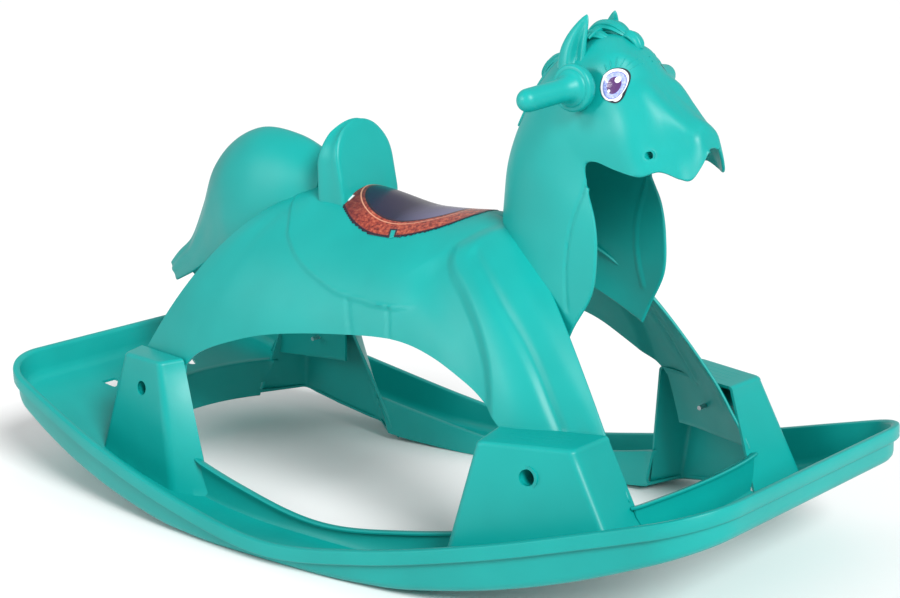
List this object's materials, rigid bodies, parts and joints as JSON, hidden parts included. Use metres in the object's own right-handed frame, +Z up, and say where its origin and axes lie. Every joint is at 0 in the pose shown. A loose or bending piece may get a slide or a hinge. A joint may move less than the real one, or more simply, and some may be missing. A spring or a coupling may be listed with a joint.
{
  "type": "rocking horse",
  "caption": "Hollow moulded plastic rocking horse for a toddler: bowed rocker tray, saddle with back rest, curved tail, open neck and two hand grips.",
  "frame": {"origin": "on the floor under the middle of the rocker", "axes": "+X towards the horse's nose, +Y to the horse's left, +Z up"},
  "size_m": [0.934, 0.462, 0.5065],
  "materials": {
    "teal_shell": "glossy injection-moulded polyolefin in turquoise",
    "label_film": "printed glossy adhesive film",
    "screw_steel": "zinc-plated pan head screw"
  },
  "bodies": {
    "root": {"rocker_base": "teal_shell", "body_shell": "teal_shell", "neck_head": "teal_shell", "backrest": "teal_shell", "tail": "teal_shell", "grip_right": "teal_shell", "grip_left": "teal_shell", "grip_lock_screw": "screw_steel", "front_leg_screws": "screw_steel", "rear_leg_screws": "screw_steel", "neck_screws": "screw_steel", "backrest_screws": "screw_steel", "tail_screws": "screw_steel", "saddle_label": "label_film", "eye_label_right": "label_film", "eye_label_left": "label_film"}
  },
  "joints": []
}
